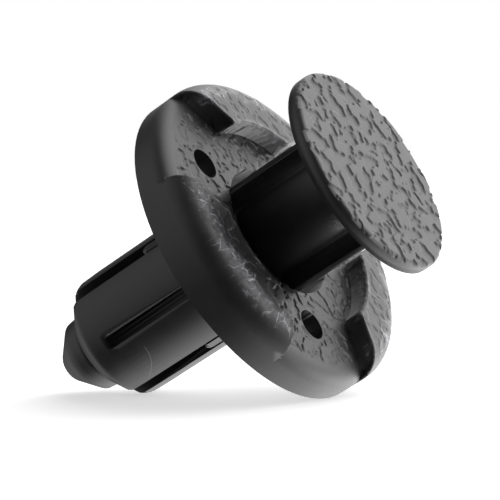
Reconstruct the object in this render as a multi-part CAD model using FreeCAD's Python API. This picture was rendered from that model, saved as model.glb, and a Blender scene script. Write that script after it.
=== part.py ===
import FreeCAD, Part
import math
import os

# Plastic push rivet: a split grommet with a domed flange, and the push pin
# that spreads its legs. It is drawn upright, with the rivet's axis on Z and
# the flange's underside at 0, and is then laid down as it comes to rest.

# Flange
flange_radius = 10.0
floor_height = 2.1
crest_height = 3.3
shoulder_round = 1.5
floor_round = 0.9
recess_radius = 6.7
notch_width = 7.9
lobe_bevel = 0.12

# Relief holes in the notches
hole_radius = 0.95
hole_circle_radius = 6.4

# Shank and its legs
leg_radius = 4.0
leg_wall = 1.02
leg_length = 11.8
chamfer_height = 0.95
chamfer_depth = 0.95
end_bevel = 0.12
lead_taper = 0.03
slot_width = 1.05
groove_width = 0.77
groove_depth = 0.45
groove_end = 9.5
web_thickness = 0.9
lip_width = 0.66
lip_height = 0.45

# Push pin
head_radius = 6.5
head_thickness = 0.8
head_round = 0.3
pin_rise = 6.4
wing_thickness = 0.62
wing_length = 13.6
throat_round = 1.0
bulb_catch = 0.18
bulb_taper = 0.15
bulb_length = 1.3
nose_length = 1.6
nose_flat = 0.95
nose_round = 0.4

# Clearances
core_clearance = 0.08
wing_tip_inset = 0.03
slot_clearance = 0.12
neck_clearance = 0.12
bulb_gap = 0.1
throat_clearance = 0.3

# How it lies: the azimuth of the flange that touches the ground
leg_count = 3
notch_azimuth = -30.0
ground_azimuth = -13.0

# Worked out from the sizes above
pitch = 360.0 / leg_count
lobe_azimuth = notch_azimuth - pitch / 2
bore_radius = leg_radius - leg_wall
lip_radius = bore_radius - lip_width
core_radius = bore_radius - core_clearance
neck_radius = lip_radius - neck_clearance
bulb_radius = lip_radius + bulb_catch
lip_base = lip_height - leg_length
lip_top = lip_base + bore_radius - lip_radius
counterbore_radius = core_radius + throat_round + throat_clearance
wing_reach = leg_radius - wing_tip_inset
slot_reach = leg_radius + slot_clearance
lobe_base = (floor_height - floor_round) / 2
shoulder_height = chamfer_height - leg_length
head_underside = floor_height + pin_rise
wing_end = head_underside - wing_length
core_end = lip_top + pin_rise
bulb_top = -leg_length - bulb_gap
bulb_bottom = bulb_top - bulb_length
nose_end = bulb_bottom - nose_length
over = 1.0


def turned(corners):
    """Solid of revolution about Z of a closed outline.

    Each corner is (radius, height), with a third value where it is rounded.
    """
    points = [FreeCAD.Vector(corner[0], 0, corner[1]) for corner in corners]
    edges = []
    ends = []
    for index, corner in enumerate(corners):
        point = points[index]
        if len(corner) == 2:
            ends.append((point, point))
            continue
        back = (points[index - 1] - point).normalize()
        ahead = (points[(index + 1) % len(points)] - point).normalize()
        half = back.getAngle(ahead) / 2
        reach = corner[2] / math.tan(half)
        inward = (back + ahead).normalize()
        middle = point + inward * (corner[2] / math.sin(half) - corner[2])
        arc = Part.Arc(point + back * reach, middle, point + ahead * reach)
        edges.append(arc.toShape())
        ends.append((point + back * reach, point + ahead * reach))
    for index, end in enumerate(ends):
        edges.append(Part.makeLine(ends[index - 1][1], end[0]))
    outline = Part.Wire(Part.__sortEdges__(edges))
    return Part.Face(outline).revolve(FreeCAD.Vector(), FreeCAD.Vector(0, 0, 1), 360)


def bar(width, reach, bottom, top, azimuth):
    """Upright box from the axis out to a radius, in the given direction."""
    box = Part.makeBox(reach, width, top - bottom, FreeCAD.Vector(0, -width / 2, bottom))
    box.rotate(FreeCAD.Vector(), FreeCAD.Vector(0, 0, 1), azimuth)
    return box


def around(shape):
    """The shape and its copies, one to each leg."""
    copies = []
    for index in range(leg_count):
        copy = shape.copy()
        copy.rotate(FreeCAD.Vector(), FreeCAD.Vector(0, 0, 1), index * pitch)
        copies.append(copy)
    return copies


def blank():
    """Flange, shank and bore of the grommet, before anything is cut or raised."""
    end_radius = leg_radius - chamfer_depth
    return turned([
        (counterbore_radius, floor_height),
        (flange_radius, floor_height, floor_round),
        (flange_radius, 0),
        (leg_radius, 0),
        (leg_radius, -groove_end),
        (leg_radius - lead_taper, shoulder_height),
        (end_radius, end_bevel - leg_length),
        (end_radius - end_bevel, -leg_length),
        (lip_radius, -leg_length),
        (lip_radius, lip_base),
        (bore_radius, lip_top),
        (bore_radius, web_thickness),
        (counterbore_radius, web_thickness),
    ])


def lobe():
    """One raised part of the domed flange, between two notches."""
    ring = turned([
        (recess_radius, lobe_base),
        (flange_radius, lobe_base),
        (flange_radius, crest_height, shoulder_round),
        (recess_radius, crest_height),
    ])
    notch = bar(notch_width, flange_radius + over, lobe_base - over, crest_height + over, notch_azimuth)
    side = math.radians(lobe_azimuth)
    middle = FreeCAD.Vector(math.cos(side), math.sin(side), 0) * flange_radius
    pieces = ring.cut(around(notch)).Solids
    piece = min(pieces, key=lambda solid: solid.CenterOfMass.distanceToPoint(middle))
    edges = []
    for edge in piece.Edges:
        nearest = min(math.hypot(vertex.X, vertex.Y) for vertex in edge.Vertexes)
        level = edge.BoundBox.ZLength < 1e-6
        on_crest = nearest < recess_radius + 1e-6 and edge.Vertexes[0].Z > floor_height
        if on_crest or not level:
            edges.append(edge)
    return piece.makeChamfer(lobe_bevel, edges)


def grommet():
    """Flange and split shank, moulded in one piece."""
    body = blank().fuse(around(lobe())).removeSplitter()
    slot = bar(slot_width, slot_reach, -leg_length - over, floor_height, notch_azimuth)
    groove = bar(groove_width, leg_radius + over, -groove_end, 0, lobe_azimuth)
    keep = Part.makeCylinder(leg_radius - groove_depth, leg_length, FreeCAD.Vector(0, 0, -leg_length))
    place = FreeCAD.Vector(hole_circle_radius, 0, -over)
    hole = Part.makeCylinder(hole_radius, floor_height + 2 * over, place)
    hole.rotate(FreeCAD.Vector(), FreeCAD.Vector(0, 0, 1), notch_azimuth)
    return body.cut(around(slot) + around(groove.cut(keep)) + around(hole))


def wing():
    """Key along the pin that runs in a slot, with a rounded lower end."""
    half = wing_thickness / 2
    blade = bar(wing_thickness, wing_reach, wing_end + half, head_underside, notch_azimuth)
    across = FreeCAD.Vector(1, 0, 0)
    tip = Part.makeCylinder(half, wing_reach, FreeCAD.Vector(0, 0, wing_end + half), across)
    tip.rotate(FreeCAD.Vector(), FreeCAD.Vector(0, 0, 1), notch_azimuth)
    return blade.fuse(tip)


def push_pin():
    """Round head, core, neck, bulb and nose, with three wings, moulded in one piece."""
    stem = turned([
        (0, head_underside + head_thickness),
        (head_radius, head_underside + head_thickness, head_round),
        (head_radius, head_underside),
        (core_radius, head_underside, throat_round),
        (core_radius, core_end),
        (neck_radius, core_end - core_radius + neck_radius),
        (neck_radius, bulb_top),
        (bulb_radius, bulb_top),
        (bulb_radius - bulb_taper, bulb_bottom),
        (nose_flat, nose_end, nose_round),
        (0, nose_end),
    ])
    return stem.fuse(around(wing())).removeSplitter()


def lean():
    """Angle between the axis and the ground, which touches the rim and the leg ends."""
    across = flange_radius - leg_radius + lead_taper
    along = -shoulder_height
    return math.atan2(across, along)


def laid_down(pieces):
    """Turn the pieces to the ground and centre them over the origin."""
    for piece in pieces:
        piece.rotate(FreeCAD.Vector(), FreeCAD.Vector(0, 0, 1), -ground_azimuth)
        piece.rotate(FreeCAD.Vector(), FreeCAD.Vector(0, 1, 0), 90 - math.degrees(lean()))
    box = Part.makeCompound(pieces).optimalBoundingBox(False)
    middle = FreeCAD.Vector(box.Center.x, box.Center.y, box.ZMin)
    for piece in pieces:
        piece.translate(-middle)
    return pieces


os.makedirs("parts", exist_ok=True)
grommet_solid, pin_solid = laid_down([grommet(), push_pin()])
grommet_solid.exportStep("parts/grommet.step")
pin_solid.exportStep("parts/push_pin.step")
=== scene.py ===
from math import cos, hypot, radians, sin

import bmesh
import bpy
from mathutils import Matrix, Vector, noise


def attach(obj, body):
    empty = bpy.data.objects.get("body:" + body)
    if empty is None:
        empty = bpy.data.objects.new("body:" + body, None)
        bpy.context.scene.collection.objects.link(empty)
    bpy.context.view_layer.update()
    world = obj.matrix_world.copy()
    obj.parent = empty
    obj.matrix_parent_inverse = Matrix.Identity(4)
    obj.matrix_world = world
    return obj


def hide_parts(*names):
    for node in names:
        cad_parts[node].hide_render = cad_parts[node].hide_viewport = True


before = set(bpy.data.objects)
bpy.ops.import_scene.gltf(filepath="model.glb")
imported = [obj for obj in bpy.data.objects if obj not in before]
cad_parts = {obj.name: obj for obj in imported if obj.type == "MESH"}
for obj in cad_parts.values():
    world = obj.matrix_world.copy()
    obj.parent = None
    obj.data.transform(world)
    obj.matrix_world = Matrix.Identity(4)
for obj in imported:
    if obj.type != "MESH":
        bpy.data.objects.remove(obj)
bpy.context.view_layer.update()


# The grommet is one moulding in black plastic: a domed flange with three
# notches and a split shank of three legs. It is worked on standing upright, in
# millimetres, and lies down again on its flange's rim and the end of one leg.
millimetre = 0.001
seat_centre = Vector((1.0908, 0.0, 8.7408))
tip_over = radians(60.93643)
flange_turn = radians(13)
lie = Matrix.Scale(millimetre, 4) @ Matrix.Translation(seat_centre)
lie = lie @ Matrix.Rotation(tip_over, 4, "Y") @ Matrix.Rotation(flange_turn, 4, "Z")
stand = lie.inverted()
weld_gap = 0.0005
cut_snap = 1e-5


def standing_copy(node):
    """The node's own moulding, with its loose triangles joined, stood upright."""
    shape = bmesh.new()
    shape.from_mesh(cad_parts[node].data)
    bmesh.ops.transform(shape, matrix=stand, verts=shape.verts)
    bmesh.ops.remove_doubles(shape, verts=shape.verts, dist=weld_gap)
    bmesh.ops.recalc_face_normals(shape, faces=shape.faces)
    return shape


def with_edges(faces):
    """The faces with their points and edges, each once and always in the same order."""
    verts = dict.fromkeys(vert for face in faces for vert in face.verts)
    edges = dict.fromkeys(edge for face in faces for edge in face.edges)
    return list(verts) + list(edges) + faces


def slice_finely(shape, faces, step):
    """Cut the faces along a square grid, so that they can carry a fine grain."""
    for axis in (0, 1):
        across = Vector((axis == 0, axis == 1, 0))
        starts = []
        for index, face in enumerate(faces):
            starts.append((min(vert.co[axis] for vert in face.verts), index))
        starts.sort(reverse=True)
        place = starts[-1][0]
        met = []
        done = []
        while starts or met:
            place += step
            while starts and starts[-1][0] < place:
                met.append(faces[starts.pop()[1]])
            skin = with_edges(met)
            plane = across * place
            cut = bmesh.ops.bisect_plane(shape, geom=skin, plane_co=plane, plane_no=across, dist=cut_snap)
            pieces = [part for part in cut["geom"] if isinstance(part, bmesh.types.BMFace)]
            met = [face for face in pieces if face.calc_center_median()[axis] > place]
            done += [face for face in pieces if face.calc_center_median()[axis] <= place]
        faces = done
    return faces


bend = 0.22
bend_scale = 1.6
bend_shift = Vector((5, 8, 3))
fine_share = 0.55
fine_scale = 2.3
fine_shift = Vector((3, 7, 1))
islands_more = 0.02
side_width = 0.2


def grain(place, size):
    """Height, from 0 to 1, of a leather grain of flat islands with steep sides."""
    spot = Vector((place.x, place.y, 0)) / size
    bent = spot * bend_scale
    spot += bend * Vector((noise.noise(bent), noise.noise(bent + bend_shift), 0))
    level = noise.noise(spot) + fine_share * noise.noise(spot * fine_scale + fine_shift)
    rise = min(max((level + islands_more) / side_width + 0.5, 0), 1)
    return rise * rise * (3 - 2 * rise)


steep = 0.003


def emboss(shape, faces, step, rise):
    """Raise the faces by rise, cut twice as fine where it is steep."""
    faces = slice_finely(shape, faces, step)
    edges = {}
    for face in faces:
        face.material_index = 1
        levels = [rise(vert.co) for vert in face.verts]
        if max(levels) - min(levels) > steep:
            edges.update(dict.fromkeys(face.edges))
    bmesh.ops.subdivide_edges(shape, edges=list(edges), cuts=1, use_grid_fill=True)
    faces = [face for face in shape.faces if face.material_index == 1]
    for vert in {vert for face in faces for vert in face.verts}:
        vert.co.z += rise(vert.co)
    for face in faces:
        face.material_index = 0


crease = radians(30)


def moulded(shape, name, body, node):
    """Lay the finished shape down and let it stand for its node."""
    bmesh.ops.transform(shape, matrix=lie, verts=shape.verts)
    mesh = bpy.data.meshes.new(name)
    shape.to_mesh(mesh)
    shape.free()
    mesh.shade_smooth()
    mesh.set_sharp_from_angle(angle=crease)
    piece = bpy.data.objects.new(name, mesh)
    bpy.context.scene.collection.objects.link(piece)
    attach(piece, body)
    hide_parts(node)
    return piece


def reach(place):
    """Distance from the rivet's axis."""
    return hypot(place.x, place.y)


leg_radius = 4.0
leg_skin = 3.9
straight_leg = (-9.4, -0.1)
straight_skin = 3.95
shoulder_height = -10.85
shoulder_round = 0.22
rim_skin = 9.5
rim_cuts = (1.1, 1.7)
leg_cuts = [-0.75 * step for step in range(1, 15)]
grommet = standing_copy("grommet")

# Cuts across the outer skins shade the long facets evenly, and the points that
# they leave on the legs are put back on the legs' round.
for height, least in [(cut, rim_skin) for cut in rim_cuts] + [(cut, leg_skin) for cut in leg_cuts]:
    outer = [face for face in grommet.faces if all(reach(vert.co) > least for vert in face.verts)]
    plane = (0, 0, height)
    skin = with_edges(outer)
    bmesh.ops.bisect_plane(grommet, geom=skin, plane_co=plane, plane_no=(0, 0, 1), dist=cut_snap)
for vert in grommet.verts:
    away = reach(vert.co)
    if straight_leg[0] < vert.co.z < straight_leg[1] and straight_skin < away < leg_radius:
        vert.co.x *= leg_radius / away
        vert.co.y *= leg_radius / away
shoulder = []
for edge in grommet.edges:
    places = [vert.co for vert in edge.verts]
    if all(abs(place.z - shoulder_height) < 0.01 and reach(place) > leg_skin for place in places):
        shoulder.append(edge)
bmesh.ops.bevel(grommet, geom=shoulder, offset=shoulder_round, segments=4, profile=0.5, affect="EDGES")

floor_height = 2.1
crown_start = 2.95
recess_radius = 6.7
notch_half = 3.95
hole_middle = Vector((6.4, 0.0))
hole_radius = 0.95
notch_sides = [Vector((cos(radians(turn)), sin(radians(turn)))) for turn in (-30, 90, 210)]
grained = []
for face in grommet.faces:
    middle = face.calc_center_median()
    on_floor = abs(middle.z - floor_height) < 0.02 and reach(middle) > leg_radius
    on_crown = middle.z > crown_start and face.normal.z > 0.7
    if on_floor or on_crown:
        grained.append(face)
floor_edge = 9.0
crown_edge = 9.4
fade_width = 0.3
floor_relief = 0.06
crown_relief = 0.045
floor_island = 0.75
crown_island = 0.85
grain_level = 0.8
flange_step = 0.11


def flange_rise(place):
    """Height of the grain on the flange, which is level near walls, holes and the rim."""
    flat = place.to_2d()
    inside = recess_radius - flat.length
    clear = 1.0
    for side in notch_sides:
        turned = Vector((flat.dot(side), flat.dot(side.orthogonal())))
        if turned.x > 0:
            inside = max(inside, notch_half - abs(turned.y))
        clear = min(clear, (turned - hole_middle).length - hole_radius)
    if place.z < crown_start:
        fade = min(max(min(floor_edge - flat.length, inside, clear) / fade_width, 0), 1)
        return floor_relief * fade * (grain(place, floor_island) - grain_level)
    fade = min(max(min(crown_edge - flat.length, -inside - 0.12) / fade_width, 0), 1)
    return crown_relief * fade * (grain(place, crown_island) - grain_level)


emboss(grommet, grained, flange_step, flange_rise)


class Shade:
    """A shader socket whose sums, differences and products add Math nodes."""

    def __init__(self, tree, socket=None):
        self.tree = tree
        self.socket = socket

    def node(self, kind, settings, sockets, output=0):
        made = self.tree.nodes.new("ShaderNode" + kind)
        for name, value in settings.items():
            if name == "stops":
                ramp = made.color_ramp
                for index, (place, tone) in enumerate(value):
                    stop = ramp.elements[index] if index < 2 else ramp.elements.new(place)
                    stop.position = place
                    stop.color = (tone, tone, tone, 1)
            else:
                setattr(made, name, value)
        for name, value in sockets.items():
            if isinstance(value, Shade):
                self.tree.links.new(value.socket, made.inputs[name])
            else:
                made.inputs[name].default_value = value
        return Shade(self.tree, made.outputs[output] if made.outputs else None)

    def maths(self, operation, first, second):
        return self.node("Math", {"operation": operation}, {0: first, 1: second})

    def __add__(self, other):
        return self.maths("ADD", self, other)

    def __sub__(self, other):
        return self.maths("SUBTRACT", self, other)

    def __rsub__(self, other):
        return self.maths("SUBTRACT", other, self)

    def __mul__(self, other):
        return self.maths("MULTIPLY", self, other)

    __radd__ = __add__
    __rmul__ = __mul__


def unsigned(value):
    """The value without its sign."""
    return value.node("Math", {"operation": "ABSOLUTE"}, {0: value})


def ramp(value, *stops):
    """A grey ramp over the value, through the given places and tones."""
    return value.node("ValToRGB", {"stops": stops}, {0: value})


def upright_place(tree):
    """The place in millimetres on the rivet standing upright."""
    place = Shade(tree).node("TexCoord", {}, {}, "Object")
    turn = stand.to_3x3().normalized().to_euler()
    scale = (1000, 1000, 1000)
    sockets = {"Vector": place, "Location": stand.translation, "Rotation": turn, "Scale": scale}
    return place.node("Mapping", {}, sockets)


black = 0.014
satin = 0.34


def black_plastic(name, wear_and_highlights):
    """Satin black nylon with a faint moulding texture, made paler and duller by the given marks, which
    are real wear and scratches and also painted highlights.
    """
    material = bpy.data.materials.new(name)
    material.use_nodes = True
    tree = material.node_tree
    tree.nodes.clear()
    place = upright_place(tree)
    fine = place.node("TexNoise", {}, {"Vector": place, "Scale": 9.0, "Detail": 4.0, "Roughness": 0.6})
    broad = place.node("TexNoise", {}, {"Vector": place, "Scale": 0.7, "Detail": 3.0})
    speck = place.node("TexNoise", {}, {"Vector": place, "Scale": 26.0, "Detail": 2.0})
    pale, dull = wear_and_highlights(place)
    # The pale marks added to the tone are real wear and scratches and also painted highlights.
    tone = broad * 0.012 + black + fine * 0.008 + pale
    colour = place.node("CombineColor", {}, {"Red": tone, "Green": tone * 0.985, "Blue": tone * 1.06})
    gloss = satin + broad * 0.1 + fine * 0.08 + dull
    height = fine * 0.6 + speck * 0.4
    bump = place.node("Bump", {}, {"Height": height, "Strength": 0.25, "Distance": 0.00002})
    sockets = {"Base Color": colour, "Roughness": gloss, "Normal": bump, "IOR": 1.55}
    shader = place.node("BsdfPrincipled", {}, sockets)
    place.node("OutputMaterial", {}, {"Surface": shader})
    return material


lobe_start = 2.5
highlight_radius = 8.9
highlight_sway = 0.9
inner_edge = 6.75
scratch_height = 7.6
scratch_turn = 1.24
scratch_bow = 5.6
scratch_middle = 0.985
highlight_shine = -0.05


def flange_wear_and_highlight(place):
    """Painted highlight: a pale band along the lobes' shoulders, with hair-line scratches near it, and
    also a pale worn inner edge and a scratch on a leg.
    """
    split = {axis: place.node("SeparateXYZ", {}, {"Vector": place}, axis) for axis in "XYZ"}
    flat = place.node("VectorMath", {"operation": "MULTIPLY"}, {0: place, 1: (1, 1, 0)})
    radius = place.node("VectorMath", {"operation": "LENGTH"}, {0: flat}, "Value")
    turn = place.node("Math", {"operation": "ARCTAN2"}, {0: split["Y"], 1: split["X"]})
    on_lobe = ramp(split["Z"] - lobe_start, (0.0, 0.0), (0.3, 1.0))
    sway = place.node("TexNoise", {}, {"Vector": place, "Scale": 0.8, "Detail": 2.0})
    patchy = place.node("TexNoise", {}, {"Vector": place, "Scale": 1.1, "Detail": 5.0, "Roughness": 0.7})
    from_band = unsigned(radius - highlight_radius - (sway - 0.5) * highlight_sway)
    # This band is a painted highlight: a pale ring along the lobes' shoulders, where they catch the
    # light.
    highlight_band = ramp(1 - from_band, (0.4, 0.0), (0.95, 1.0)) * ramp(patchy, (0.4, 0.0), (0.58, 1.0))
    drawn = place.node("CombineXYZ", {}, {"X": turn * 11 + sway * 2.4, "Y": radius * 0.55 + patchy * 0.5})
    to_edge = {"feature": "DISTANCE_TO_EDGE"}
    cells = place.node("TexVoronoi", to_edge, {"Vector": drawn, "Scale": 1.3}, "Distance")
    near_band = ramp(1 - unsigned(radius - highlight_radius) * 0.9, (0.2, 0.0), (0.6, 1.0))
    hairs = ramp(cells, (0.0, 1.0), (0.035, 0.0)) * near_band
    hairs = hairs * ramp(patchy, (0.46, 0.0), (0.56, 1.0))
    near_edge = ramp(1 - unsigned(radius - inner_edge), (0.7, 0.0), (0.9, 1.0))
    inner = near_edge * ramp(patchy, (0.48, 0.0), (0.6, 1.0))
    # pale holds the painted highlight band, together with real hair-line scratches, the worn inner edge
    # and the leg's scratch.
    pale = on_lobe * (highlight_band * 0.1 + hairs * 0.3 + inner * 0.18)
    around = turn + scratch_turn
    bow = split["Z"] + scratch_height + around * around * scratch_bow
    span = ramp(1 - unsigned(turn + scratch_middle), (0.73, 0.0), (0.77, 1.0))
    span = span * ramp(radius - 3.2, (0.7, 0.0), (0.78, 1.0))
    pale = pale + ramp(unsigned(bow), (0.02, 1.0), (0.06, 0.0)) * span * 0.1
    return pale, on_lobe * highlight_band * highlight_shine


grommet_piece = moulded(grommet, "grommet_moulding", "grommet", "grommet")
grommet_piece.data.materials.append(black_plastic("grommet_plastic", flange_wear_and_highlight))


# The push pin is a second moulding in the same plastic: a thin round head with
# a leather grain on top, a core with three wings that run in the slots, and a
# pointed bulb that has snapped through the legs' ends.
head_top = 9.3
head_relief = 0.09
head_island = 0.95
head_level = 0.6
head_step = 0.076
pin = standing_copy("push_pin")
grained = []
for face in pin.faces:
    if face.calc_center_median().z > head_top - 0.25 and face.normal.z > 0.3:
        grained.append(face)


def head_rise(place):
    """Height of the grain on the head, which runs out over the rounded rim."""
    fade = min(max((place.z - head_top + 0.2) / 0.15, 0), 1)
    return head_relief * fade * (grain(place, head_island) - head_level)


emboss(pin, grained, head_step, head_rise)
highlight_middle = (1.9, -2.75, 6.9)
highlight_gloss = -0.16


def pin_painted_highlight(place):
    """Painted highlight: pale specks over a shiny patch on the throat under the head."""
    away = place.node("VectorMath", {"operation": "DISTANCE"}, {0: place, 1: highlight_middle}, "Value")
    speckle = place.node("TexNoise", {}, {"Vector": place, "Scale": 4.5, "Detail": 6.0, "Roughness": 0.8})
    # The pale specks are a painted highlight, where the throat's round catches the light.
    patch = ramp(1.2 - away, (0.1, 0.0), (0.8, 1.0)) * ramp(speckle, (0.5, 0.0), (0.66, 1.0))
    return patch * 0.25, ramp(1.4 - away, (0.1, 0.0), (0.8, 1.0)) * highlight_gloss


pin_piece = moulded(pin, "push_pin_moulding", "push_pin", "push_pin")
pin_piece.data.materials.append(black_plastic("pin_plastic", pin_painted_highlight))


# The floor is a wide sheet of pale paper that the rivet lies on. Its white shows
# to the camera alone, so it keeps the rivet's shadow and lights nothing.
sheet_half = 3.0
paper_white = 0.55
sheet = bmesh.new()
bmesh.ops.create_grid(sheet, x_segments=1, y_segments=1, size=sheet_half)
mesh = bpy.data.meshes.new("floor")
sheet.to_mesh(mesh)
sheet.free()
floor = bpy.data.objects.new("floor", mesh)
bpy.context.scene.collection.objects.link(floor)
floor.visible_diffuse = False
floor.visible_glossy = False
paper = bpy.data.materials.new("pale_paper")
paper.use_nodes = True
finish = paper.node_tree.nodes["Principled BSDF"].inputs
finish["Base Color"].default_value = (0.85, 0.85, 0.85, 1)
finish["Roughness"].default_value = 0.8
finish["Specular IOR Level"].default_value = 0.0
seen = Shade(paper.node_tree).node("LightPath", {}, {}, "Is Camera Ray")
paper.node_tree.links.new(seen.socket, finish["Emission Color"])
finish["Emission Strength"].default_value = paper_white
floor.data.materials.append(paper)

# The light is that of a white tent lit through its floor and its back wall, with
# two weak lamps on the left, one high and one low, and next to nothing behind the
# camera, which itself sees plain white.
dim = 0.03
world = bpy.data.worlds.new("tent")
bpy.context.scene.world = world
world.use_nodes = True
tree = world.node_tree
tree.nodes.clear()
start = Shade(tree)
way = start.node("TexCoord", {}, {}, "Generated")


def glow(towards, edge, full, power):
    """Light that fades from the middle of one side of the tent."""
    middle = Vector(towards).normalized()
    facing = start.node("VectorMath", {"operation": "DOT_PRODUCT"}, {0: way, 1: middle}, "Value")
    sockets = {"Value": facing, "From Min": edge, "From Max": full, "To Max": power}
    return start.node("MapRange", {"interpolation_type": "SMOOTHSTEP"}, sockets)


below = glow((0.25, 0.45, -0.86), edge=0.5, full=0.95, power=2.3)
behind = glow((0.55, 0.78, 0.30), edge=0.1, full=0.85, power=2.4)
lamp = glow((-0.72, -0.60, 0.34), edge=0.5, full=1.0, power=0.6)
low_lamp = glow((-0.86, 0.0, -0.51), edge=0.65, full=1.0, power=0.6)
tent = dim + below + behind + lamp + low_lamp
camera_ray = start.node("LightPath", {}, {}, "Is Camera Ray")
strength = tent * (1 - camera_ray) + camera_ray
sky = start.node("Background", {}, {"Color": (1, 1, 1, 1), "Strength": strength})
start.node("OutputWorld", {}, {"Surface": sky})

# The camera stands in front of the rivet, just above the floor, and looks
# level at it, as in the photograph.
lens = bpy.data.cameras.new("camera")
lens.sensor_width = 36
lens.lens = 158.61
lens.clip_start = 0.01
lens.clip_end = 10
camera = bpy.data.objects.new("camera", lens)
camera.location = (0.0640182, -0.1137982, 0.0136339)
camera.rotation_euler = (radians(87.808), radians(2.019), radians(28.906))
bpy.context.scene.collection.objects.link(camera)
bpy.context.scene.camera = camera
bpy.context.scene.view_settings.view_transform = "Standard"
